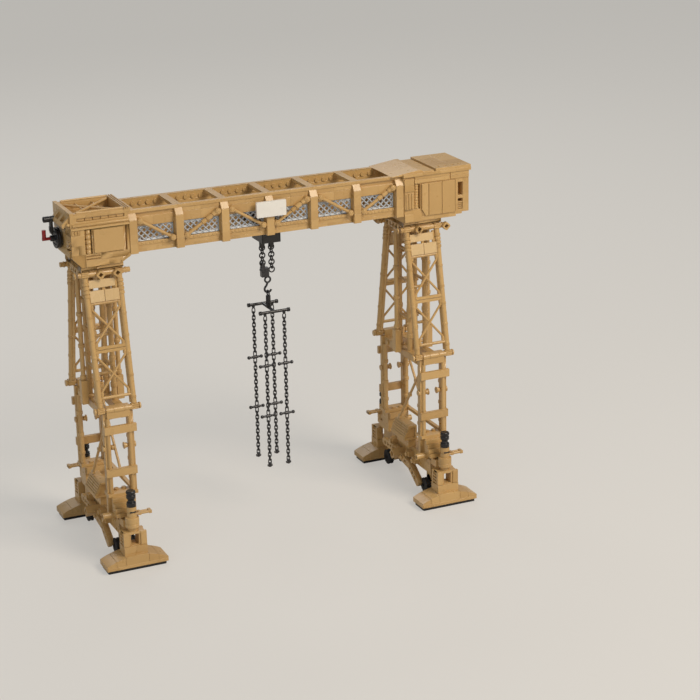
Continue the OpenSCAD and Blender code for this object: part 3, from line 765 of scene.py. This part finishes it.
def roof_tiles(kit):
    """A lip of plates, a ramp up from the girder in three strips, and a low cover with four vents."""
    for x in spans((148, 170, 190, 208, 226)):
        for s in (-1, 1):
            kit.box(x, sided(s, 14, 30), (348, 351.2))
    kit.box((148, 226), (-14, 14), (348, 351.2))
    for y in spans((-28, -9.4, 9.4, 28)):
        kit.plate("y", *y, [(135.5, 349.6), (184, 349.6), (184, 352.2), (171, 352.2), (169, 354), (165, 354),
                            (135.5, 350.2)])
    vents = [rect((x, x + 3.2), (-24, -21.6)) for x in (190, 198, 206, 214)]
    kit.plate("z", 351, 354, rect((185, 225.8), (-29.8, -17)), vents)
    for x in spans((185, 205, 225.8)):
        for y in spans((-17, -1, 15, 29.8)):
            kit.box(x, y, (351, 354))


def door_panels(kit):
    """Three tall plain panels. The first one has a cut corner at its foot."""
    kit.plate("y", -29.6, -27.9, [(173.4, 305), (176.6, 305), (176.6, 339.5), (168.6, 339.5), (168.6, 313)])
    for x, front, z in (((177, 192.1), -29.6, (305, 339.5)), ((192.5, 208.5), -29.6, (305, 339.5)),
                        ((174, 208), -28.8, (305.2, 339.3))):
        kit.box(x, (front, -27.9), z)
    for x in (168.8, 176.9, 192.4, 207.6):
        kit.box((x, x + 0.7), (-30.1, -29.4), (313.4 if x < 170 else 305.2, 339.3))


# Towers

def head_pins(kit, bushes):
    """Round hinge bars with diamond bushes, slotted side beams and seams round the plate."""
    for _ in kit.each((FRONT, BACK)):
        kit.tiles("y", -26, -1, [-21.5, -5.5, 5.5, 21.5], [296.8, 299.9])
        kit.tiles("x", -21.5, -1, [-26, -8, 8, 26], [295.3, 299.9])
        kit.rod((-24.4, BAR_Y - 0.4, BAR_Z), (28.3, BAR_Y - 0.4, BAR_Z), 5.2)
        for x in bushes:
            diamond = [(x + (u - v) * 0.707, BAR_Z + (u + v) * 0.707) for u, v in rounded(7.2, 7.2, 1.8)]
            kit.plate("y", -30.4, -26.2, diamond, [ring_of((x, BAR_Z), 2.5, 4)])
            kit.rod((x, -27, BAR_Z), (x, BAR_Y, BAR_Z), 4.6)
        for x in (-25, 22, 27):
            kit.collar((-x, BAR_Y, BAR_Z), (-x - 1.4, BAR_Y, BAR_Z), 5.6, 6.2, 0.3)
        slots = [capsule((y, 290.4), (y, 292.4), 1.6, 4) for y in (-14.8, -7.4, 0, 7.4, 14.8)]
        kit.plate("x", 15.6, 21.4, capsule((-16.4, 291.4), (16.4, 291.4), 3.8), slots)


def panel_clips(kit):
    """A leaning panel, drawn upright with its hinge at the origin: rails with rings, crossing bars with
    upright ends, cross plates, and clips round the hinge bars."""
    kit.place = kit.place @ PANEL_PLACE
    length, rail = PANEL_LENGTH, 17.5
    for s in (-1, 1):
        x = s * rail
        kit.rod((x, 0, 3), (x, 0, length - 3), 5.6)
        for v in (0, length):
            kit.plate("x", *sorted((x - 3.6, x + 3.6)), rounded(6.4, 6.4, 2.2, (0, v)))
            for k in (-2, 0, 2):
                kit.box(sided(s, 13.8, 21.2), (-3.6, -2.8), (v + k - 0.6, v + k + 0.6))
        for k in range(4):
            v = length - 23 + 4 * k
            kit.collar((x, 0, v), (x, 0, v + 3.2), 6, 7)
        for v in (8, 30, 52, 70, 92):
            kit.collar((x, 0, v), (x, 0, v + 3), 5.4, 6.3)
        kit.rod((s * 15.2, 2.2, 4), (s * 15.2, 2.2, 131), 3.0, 14)
    for v in (12.5, 106):
        kit.rod((-rail, 0, v), (rail, 0, v), 3.2)
    inner = rail - 3.6
    for v in (12.5, 60.2):
        for s, y in ((-1, -0.6), (1, 0.6)):
            a, b = s * inner, -s * inner
            bars(kit, [[(a, y, v), (a, y, v + 6), (b, y, v + 40), (b, y, v + 46)]], 2.6)
            for x, z in ((a, v + 1.5), (b, v + 41.5)):
                kit.rod((x, y, z), (x, y, z + 4.5), 3.6)
    for v in (57, 60.4):
        kit.box((-rail, rail), (-1.7, 1.7), (v, v + 3))
    # The upper cross plates take the paler copy of the tan, a painted highlight where they face the light
    kit.paint(TAN_PAINTED_HIGHLIGHT)
    for x0, x1 in ((-rail + 2.6, -0.2), (0.2, rail - 2.6)):
        kit.box((x0, x1), (-2.2, 1.6), (107.5, 119))
    kit.box((-rail + 2.6, 11.7), (-2.2, 1.6), (121.5, 129.5))
    kit.paint(TAN)
    kit.box((-1.6, 1.6), (-1, 1), (118, 122))
    kit.rod((12.6, 0, 119), (12.6, 0, 131), 3.2)


def column_joints(kit):
    """Couplings on the inner columns, cross bars between them, and a block on a tube on each side."""
    for sx in (-1, 1):
        for sy in (-1, 1):
            for z in (168, 196, 224, 252, 280):
                kit.collar((sx * 9, sy * 12, z), (sx * 9, sy * 12, z + 5), 6, 7, 0.5)
        for z in (190, 230, 264):
            kit.rod((sx * 9, -17, z), (sx * 9, 17, z), 3.2)
        kit.rod((sx * 18.5, 0, 174), (sx * 18.5, 0, 290), 4.8)
        for z in (177, 210, 243):
            kit.collar((sx * 18.5, 0, z), (sx * 18.5, 0, z + 4), 5.6, 6.6)
        kit.box(sided(sx, 15.1, 21.9), (-4, 4), (151, 176))
        kit.tiles("x", sx * 21.9, sx, [-3.8, 3.8], [151.2, 163.4, 175.8])
        kit.rod((sx * 9, 0, 158), (sx * 16, 0, 158), 3.2)
        kit.tiles("x", sx * 13, sx, [-42, -21, 0, 21, 42], [146.2, 153.8])
        for y in (-34, 34):
            kit.collar((sx * 12.6, y, 150), (sx * 14.6, y, 150), 5, 6)
    for sy in (-1, 1):
        for z in (184, 224, 258):
            kit.rod((-13, sy * 12, z), (13, sy * 12, z), 3.2)


def leg_parts(kit):
    """A round column on the front and the back of each post, a long brace, tiles across and a segmented
    hinge bar."""
    for s in (-1, 1):
        kit.rod((s * 11.4, -48.9, 70), (s * 11.4, -48.9, 133), 4.2)
        kit.rod((s * 11.4, -48.9, 141), (s * 11.4, -48.9, 149.4), 4.2)
        kit.rod((s * 12.5, -42.2, 68), (s * 12.5, -42.2, 146), 4.8)
        for z in (80, 100, 124):
            kit.collar((s * 12.5, -42.2, z), (s * 12.5, -42.2, z + 4), 5, 6.2)
        for z in ([96, 117, 133], [70, 88]):
            kit.tiles("y", -48.5, -1, sided(s, 13.4, 15.5), z, 0.3)
        kit.turned((s * 8.2, -46, 117.5), (s * 4.6, -46, 117.5),
                   [(0, 5), (0.5, 5.2), (2.4, 5.2), (2.6, 7), (3.6, 7)])
        kit.turned((s * 15.4, -46, 117.5), (s * 17, -46, 117.5), [(0, 5.6), (0.4, 6.2), (1.6, 6.2)])
    kit.rod((-12.5, -43.5, 140), (-12.5, 8.5, 71.6), 2.8)
    for y, z in ((-43, 139.4), (-18, 106.4), (7.5, 72.9)):
        kit.rod((-13.9, y, z), (-11.1, y, z), 5)
    kit.plate("y", -52.2, -48.4, rect((-15.6, 17.6), (133, 141.2)))
    kit.plate("y", -52.2, -48.4, rect((-16, 16), (88, 96.2)))
    kit.tiles("z", 96.2, 1, [-16, 16], [-52.2, -48.6], 0.2)
    kit.turned((-12.4, -49.2, 158), (14.4, -49.2, 158),
               [(0, 5.6), (7, 5.6), (7.2, 5), (7.8, 5), (8, 6), (18, 6), (18.2, 5), (18.8, 5), (19, 5.6),
                (26.8, 5.6)])
    for x in (-24, 22):
        kit.collar((x, -48, 158), (x + 2, -48, 158), 5.8, 6.6)


def chassis_bricks(kit):
    """An open deck on two blocks over a long beam, with skirt arms, a turned tube, a pipe and a fender
    each side."""
    for low, high in zip(spans((-58, -29, 0, 29, 58)), spans((-58, -21, 8, 37, 58))):
        kit.box((-8, 8), low, (28, 37.6))
        kit.box((-8, 8), high, (37.6, 44))
    for turn in kit.each((FRONT, BACK)):
        kit.box((-4.6, 4.6), (-51, -41), (16.4, 28))
        kit.plate("x", -4.6, 4.6, capsule((AXLE_Y, AXLE_Z), (AXLE_Y, 18), 5))
        for z in spans((44, 47.2, 56.8, 66.8)):
            kit.box((-11.8, 11.8), (-53.8, -38.2), z)
        for y in ((-52, -44), (-43.9, -38)):
            kit.box((-15.5, 15.5), y, (66.8, 70))
        if turn is BACK:
            for y in ((-37.9, -12.1), (-11.9, 11.9), (12.1, 37.9)):
                kit.box((-15.4, -11.6), y, (66.8, 70))
        kit.box((-11, 11), (-38, -35), (60, 66.6))
        knobs(kit, [(x, -40.8, 70.8) for x in (-12, -4, 4, 12)], (0, 0, 1), 4.8, 1.8)
        x = -16
        for p, q in (((42, 32.5), (18, 32.5)), ((18, 32.5), (-20, 26.5)), ((-20, 26.5), (-40, 13))):
            run = Vector(q) - Vector(p)
            count = int(run.length // 8)
            holes = [ring_of(Vector(p) + run * ((n + 0.5) / (count + 0.5)), 1.9, 12) for n in range(count)]
            kit.plate("x", x - 0.4 * (p[0] == 18), x + 3.4, capsule(p, q, 4), holes)
            kit.plate("x", x + 3.5, x + 6.5, capsule(p, q, 3))
        for y, z in ((26, 38.5), (-14, 37), (-28, 34)):
            kit.box((-14.5, -7.9), (y - 3.8, y + 3.8), (z - 3, z + 3.2))
            kit.rod((-16.6, y, z), (-13, y, z), 4.8)
        for y, z in ((18, 32.5), (-4, 30)):
            kit.rod((-16.2, y, z), (-6, y, z), 4)
            kit.turned((-15.9, y, z), (-18.4, y, z), [(0, 3.4), (1.4, 3.4), (1.5, 5), (2.5, 4.4)])
        diamond = ring_of((5, 32), 5.7, 4)
        kit.plate("x", -24, -17, diamond, [ring_of((5, 32), 3.8, 4)])
        kit.plate("x", -17, -6, diamond)
        kit.sleeve((-24, -55, 49.5), (-18, -55, 49.5), 6.4, 4)
        kit.rod((-18, -55, 49.5), (-9, -55, 49.5), 6.4)
        for k in range(4):
            kit.box((-13, 7), (-67 + 3.2 * k, -53.6), (50 + 4.2 * k, 54.1 + 4.2 * k))
        kit.box((-15.5, -9.5), (-48.5, -43.5), (47, 66.7))
        kit.tiles("x", -8, -1, [-58, -42, -26], [28, 37.6, 44], 0.2)


def cover_slats(kit):
    """A slanting slatted cover with a recess in each end."""
    cover = [(-19, 53.5), (-19, 55.5), (-12.4, 69.5), (-4, 69.5), (-4, 53.5)]
    hole = [(-16.6, 55.4), (-11.4, 67.2), (-6, 67.2), (-6, 55.4)]
    kit.box((-13, -4), (-14, 14), (44, 53.6))
    kit.plate("y", -14.4, 14.4, cover)
    for s in (-1, 1):
        kit.plate("y", *sided(s, 14.2, 17), cover, [hole])
    a, b = Vector((-19.1, 55.6)), Vector((-12.5, 69.4))
    for k in range(6):
        p = a + (b - a) * (k + 0.2) / 6
        q = a + (b - a) * (k + 0.9) / 6
        kit.plate("y", -17, 17, [(p.x - 0.7, p.y + 0.35), (q.x - 0.7, q.y + 0.35),
                                 (q.x + 0.8, q.y - 0.5), (p.x + 0.8, p.y - 0.5)])


def jack_parts(kit):
    """Foot block, window block between corner columns, barrel, thin screw, knurled knob, and a lever of
    two bars."""
    y = JACK_Y
    for x in spans((-12, 0, 12)):
        kit.box(x, (y - 8, y + 8), (16, 24))
    for s in (-1, 1):
        kit.box(sided(s, 4, 10.6), (y - 6, y + 6), (24, 38.4))
        for t in (-1, 1):
            kit.box(sided(s, 6, 12), sorted((y + t * 4, y + t * 7.2)), (24.2, 38.4))
        for z in (26.5, 30, 33.5):
            kit.rod((s * 11.2, y - 4, z), (s * 11.2, y + 4, z), 1.8, 10)
        kit.rod((3, y + 2 * s, 55.8), (20, y + 2 * s, 55.8), 2.6)
    kit.box((-4.2, 4.2), (y - 6, y + 6), (23.9, 24.8))
    kit.box((-10.6, 10.6), (y - 6.4, y + 6.4), (36.2, 38.6))
    kit.turned((0, y, 38.4), (0, y, 64),
               [(0, 10), (3.4, 10), (3.6, 13.4), (4, 14), (7.4, 14), (7.6, 13.2), (8.2, 13.2), (8.4, 14),
                (13.8, 14), (14.4, 13.2), (14.5, 10), (19, 10), (19.2, 9), (20, 9), (20.2, 10),
                (25.6, 10)], 32)
    for x in (6, 17):
        kit.box((x, x + 3), (y - 3.4, y + 3.4), (54.2, 57.4))
    kit.box((-8, 8), (y + 5, -58), (40, 48))
    kit.paint(BLACK)
    kit.box((-3.2, 3.2), (y - 5.05, y - 4.2), (58.4, 59.8))
    kit.turned((0, y, 64), (0, y, 80.8),
               [(0, 9.4), (4.4, 9.4), (5.6, 6.6), (7.6, 6.6), (9, 9.4), (12, 9.4), (12.4, 8.2), (13.4, 8.2),
                (13.8, 9.4), (16, 9.4), (16.8, 8)], 32)
    for z in (66.2, 78.6):
        knobs(kit, [(4.5 * math.cos(a), y + 4.5 * math.sin(a), z) for a in turns(16)],
              [(math.cos(a), math.sin(a), 0) for a in turns(16)], 1.0, 0.9, 6, BLACK)


def pad_tiles(kit):
    """A foot pad in curved bricks on a black plate."""
    half, rise, top = 32, 7.8, 16
    r = (half ** 2 + rise ** 2) / (2 * rise)
    for u, v in spans([-32, -22, -12, 12, 22, 32]):
        u, v = u + 0.08, v - 0.08
        xs = [v + (u - v) * k / 8 for k in range(9)]
        kit.plate("y", -87, -63, [(u, 3.3), (v, 3.3)] + [(x, top - r + math.sqrt(r * r - x * x)) for x in xs])
    kit.box((-12, 12), (-83, -67), (14, 16.1))
    for s in (-1, 1):
        kit.tiles("y", JACK_Y + 12 * s, s, [-31.6, -20, 20, 31.6], [3.5, 6.6], 0.3)
    kit.paint(BLACK)
    kit.plate("z", 0, 3.3, rounded(60.8, 20.8, 1.2, (0, JACK_Y)))


def wheel_treads(kit):
    """Two tyres with knobs all round on rims, and the axle between them."""
    y, z = AXLE_Y, AXLE_Z
    kit.paint(BLACK)
    kit.rod((-10.6, y, z), (10.6, y, z), 3.2)
    for x in TYRES_X:
        kit.collar((x + 0.6, y, z), (x + 5.4, y, z), 7.4, 9.4, 0.2)
        for s in (-1, 1):
            kit.turned((x + 3 + s * 2.2, y, z), (x + 3 + s * 3, y, z), [(0, 4.6), (0.6, 4.4), (0.8, 3.8)], 12)
    kit.paint(TYRE)
    for x in TYRES_X:
        kit.turned((x, y, z), (x + 6, y, z),
                   [(0, 9.2), (0, 13.4), (0.8, 14.6), (2.6, 14.8), (2.8, 14), (3.2, 14), (3.4, 14.8),
                    (5.2, 14.6), (6, 13.4), (6, 9.2)], 32)
    for x in TYRES_X:
        for row, first in ((x + 1.3, 0), (x + 4.7, 0.5)):
            knobs(kit, [(row, y + 7.6 * math.cos(a), z + 7.6 * math.sin(a)) for a in turns(16, first)],
                  [(0, math.cos(a), math.sin(a)) for a in turns(16, first)], 2.2, 1.2, 6, TYRE)


# Hoist and sling

def trolley_parts(kit):
    """Studs on the trolley's frame, and tiles on its two sides."""
    kit.paint(BLACK)
    studs = [(x, y, 322) for x in (-6, 2, 10, 18) for y in (-12, -4, 4, 12)]
    knobs(kit, studs, (0, 0, 1), 4.8, 1.6, material=BLACK)
    for x, out in ((-4, -1), (16, 1)):
        kit.tiles("x", x, out, [-14, 0, 14], [294.7, 303.9, 313.3])


def hoist_rings(kit):
    """Two strands of round rings, each ring turned a quarter against the last."""
    for x, rings in ((1, 5), (11, 7)):
        chain(kit, (x, 0, 286.35), Links=rings, Pitch=4.0, Width=7.3, Length=7.3, Wire=1.5)


def hook_parts(kit):
    """A pin on the hook's block."""
    kit.paint(CHAIN)
    kit.collar((0.2, -3.2, 262.5), (0.2, 3.2, 262.5), 3, 3.6, 0.5)


def spreader_ends(kit):
    """Grooved ends on the spreader's bars."""
    kit.paint(BLACK)
    for y in (-16, 16):
        for s in (-1, 1):
            kit.turned((6 + s * 14, y, 222), (6 + s * 17, y, 222),
                       [(0, 3.4), (0.3, 4.4), (1.2, 4.4), (1.4, 3.6), (1.8, 3.6), (2, 4.4), (2.7, 4.4),
                        (3, 3.6)])


def sling_links(kit):
    """Four strands of oval links in three stretches, each ending on a bar with ball ends."""
    for x in (-4.5, 16.5):
        for y in (-16, 16):
            for k in range(3):
                top = 219 - 55.1 * k
                chain(kit, (x, y, top - 3.45), Links=13, Pitch=3.9, Width=4.4, Length=6.9, Wire=1.2)
                kit.paint(CHAIN)
                z = top - 54.4
                if k == 2:
                    kit.rod((x, y, z + 3), (x, y, z - 1.6), 3.4)
                    kit.rod((x - 2.6, y, z), (x + 2.6, y, z), 2.6)
                    continue
                kit.turned((x - 8.6, y, z), (x + 8.6, y, z),
                           [(0, 1.8), (0.5, 3.2), (1.6, 3.8), (2.7, 3.2), (3.1, 2.4), (5.6, 2.4), (5.8, 3.2),
                            (11.4, 3.2), (11.6, 2.4), (14.1, 2.4), (14.5, 3.2), (15.6, 3.8), (16.7, 3.2),
                            (17.2, 1.8)], 14)


# Every node's piece: the node's own shape, if it is kept, and what is built on it

def show(node, build=None, own=True, cuts=(), place=FRONT):
    """Builds a piece and stands it in for its node."""
    kit = Kit(node)
    kit.paint(BY_SLOT[slot_of[node]])
    kit.place = place
    if own:
        kit.node(node, cuts)
        kit.paint(BY_SLOT[slot_of[node]])
    if build:
        build(kit)
    kit.done(node)


def recesses(*rows, level=SIDE):
    """Recesses in the front face and the same in the back face, each given as x ends, z ends and depth."""
    cuts = []
    for x, z, depth in rows:
        cuts += [(x, (-level - 3, -level + depth), z), (x, (level - depth, level + 3), z)]
    return cuts


# The end bays under the chord, what lies beside the left door, and the right housing's windows
BAY_CUTS = [((a + 4, b - 4), (-27, -22.4), (342.6, 346.8)) for a, b in spans(POSTS)[::5]]
LEFT_CUTS = recesses(((-193.1, -185.9), (312.7, 337.5), 4.5), ((-152.4, -151), (312.7, 337.5), 2),
                     ((-192.8, -178.4), (306.9, 308.3), 1.4), ((-192.8, -178.4), (309.7, 311.1), 1.4))
RIGHT_CUTS = recesses(((160, 167.4), (313, 339.5), 4.5), ((211.5, 217), (322, 336), 9),
                      ((211.5, 217), (307, 314), 1.6), ((211.5, 217), (314.8, 318.5), 9))
BUSHES = {"left": (-3, 14.2), "right": (-5.5, 26)}

for end, turn, flip in (("front", FRONT, 1), ("back", BACK, -1)):
    bays = [(sided(flip, *x), sided(flip, *y), z) for x, y, z in BAY_CUTS]
    show(f"{end}_wall", wall, cuts=bays, place=turn)
    show(f"{end}_posts", post_row, place=turn)
    show(f"{end}_lattice", lattice, False, place=turn)
    show(f"{end}_diagonals", diagonal_ends, place=turn)
    for side, tower in TOWERS:
        for part, build, own in (("panel", panel_clips, False), ("leg", leg_parts, True),
                                 ("jack", jack_parts, False), ("pad", pad_tiles, False),
                                 ("wheels", wheel_treads, False)):
            show(f"{side}_{end}_{part}", build, own, place=tower @ turn)
for side, tower in TOWERS:
    x = tower.translation.x
    head_cuts = recesses(((x - 12.4, x + 12.4), (287, 295.3), 1.8), ((x - 22, x + 22), (295.4, 296.7), 2.2),
                         level=26)
    show(f"{side}_head", lambda kit: head_pins(kit, BUSHES[side]), cuts=head_cuts, place=tower)
    show(f"{side}_columns", column_joints, place=tower)
    show(f"{side}_chassis", chassis_bricks, False, place=tower)
    show(f"{side}_winch_cover", cover_slats, False, place=tower)
for row in (("top_ties", ties), ("trolley_rails", rails), ("sign_plate", sign, False),
            ("left_housing", left_box, True, LEFT_CUTS), ("left_door", door_faces),
            ("left_top_frame", top_frame, False), ("end_tray", tray_floor), ("end_bar", bar_grip),
            ("hand_wheel", wheel_face, False), ("crank_handle",),
            ("right_housing", right_box, True, RIGHT_CUTS), ("right_roof", roof_tiles, False),
            ("right_doors", door_panels, False), ("right_column", right_column_ribs),
            ("trolley", trolley_parts), ("hoist_chain", hoist_rings, False), ("hook", hook_parts),
            ("sling_spreader", spreader_ends), ("sling_chains", sling_links, False)):
    show(*row)


# Camera, light and floor

# The viewing angle, distance and lens that the photograph was taken with
AZIMUTH, ELEVATION, ROLL = -24.22, 18.81, -1.13
TARGET = Vector((97.2, 0, 161.0)) * MM
DISTANCE = 2124.5 * MM
FOCAL_PX, IMAGE_PX, SENSOR_MM = 2006.3, 700, 36
FLOOR_HALF = 6.0
AMBIENT, BACKDROP = 0.30, 0.85      # the world's strength for the object, and for the camera
EVEN_SHARE = 0.55                   # how much of the floor the camera sees in its own even tone


def place_camera():
    a, e, r = (math.radians(v) for v in (AZIMUTH, ELEVATION, ROLL))
    back = Vector((math.sin(a) * math.cos(e), -math.cos(a) * math.cos(e), math.sin(e)))
    right = Vector((math.cos(a), math.sin(a), 0))
    up = back.cross(right)
    x = math.cos(r) * right + math.sin(r) * up
    y = -math.sin(r) * right + math.cos(r) * up
    data = bpy.data.cameras.new("camera")
    data.sensor_fit = "HORIZONTAL"
    data.sensor_width = SENSOR_MM
    data.lens = FOCAL_PX / IMAGE_PX * SENSOR_MM
    data.clip_end = 20
    stand = Matrix.Translation(TARGET + DISTANCE * back) @ Matrix((x, y, back)).transposed().to_4x4()
    scene.camera = placed("camera", data, stand)


def soft_light(name, place, aim, size, power, colour):
    data = bpy.data.lights.new(name, "AREA")
    data.shape = "RECTANGLE"
    data.size, data.size_y = size
    data.energy = power
    data.color = linear(colour)[:3]
    aimed = (Vector(aim) - Vector(place)).to_track_quat("-Z", "Y").to_matrix().to_4x4()
    placed(name, data, Matrix.Translation(place) @ aimed)


def studio():
    middle = (0, 0, 0.18)
    soft_light("key_light", (0.9, -1.5, 1.7), middle, (1.0, 1.0), 38, "#FFF3E4")
    soft_light("fill_light", (-1.9, -1.2, 1.0), middle, (1.4, 1.4), 9, "#E9F0FF")
    soft_light("back_light", (0.2, 1.7, 1.5), middle, (1.6, 0.8), 9, "#FFFFFF")
    world = bpy.data.worlds.new("studio")
    world.use_nodes = True
    background = world.node_tree.nodes["Background"]
    background.inputs["Color"].default_value = linear("#E6E6E6")
    # The camera sees a pale backdrop where the floor ends, and the object gets the soft light only
    tree = world.node_tree
    ray = add(tree, "ShaderNodeLightPath", out="Is Camera Ray")
    level = add(tree, "ShaderNodeMapRange", {"Value": ray, "To Min": AMBIENT, "To Max": BACKDROP})
    tree.links.new(level, background.inputs["Strength"])
    scene.world = world
    mesh = bpy.data.meshes.new("floor")
    mesh.from_pydata([(x, y, 0) for x, y in rect((-FLOOR_HALF, FLOOR_HALF), (-FLOOR_HALF, FLOOR_HALF))], [],
                     [(0, 1, 2, 3)])
    floor = placed("floor", mesh)
    paper = bpy.data.materials.new("pale_paper_floor")
    paper.use_nodes = True
    tree = paper.node_tree
    shader = tree.nodes["Principled BSDF"]
    shader.inputs["Base Color"].default_value = linear("#DAD6CF")
    shader.inputs["Roughness"].default_value = 0.8
    # As under a wide soft box, the camera sees part of the paper in one even tone
    even = add(tree, "ShaderNodeEmission", {"Color": linear("#DEDBD5"), "Strength": 1.0})
    seen = add(tree, "ShaderNodeLightPath", out="Is Camera Ray")
    both = add(tree, "ShaderNodeMixShader",
               {0: calc(tree, "MULTIPLY", seen, EVEN_SHARE), 1: shader.outputs[0], 2: even})
    tree.links.new(both, tree.nodes["Material Output"].inputs["Surface"])
    mesh.materials.append(paper)


place_camera()
studio()
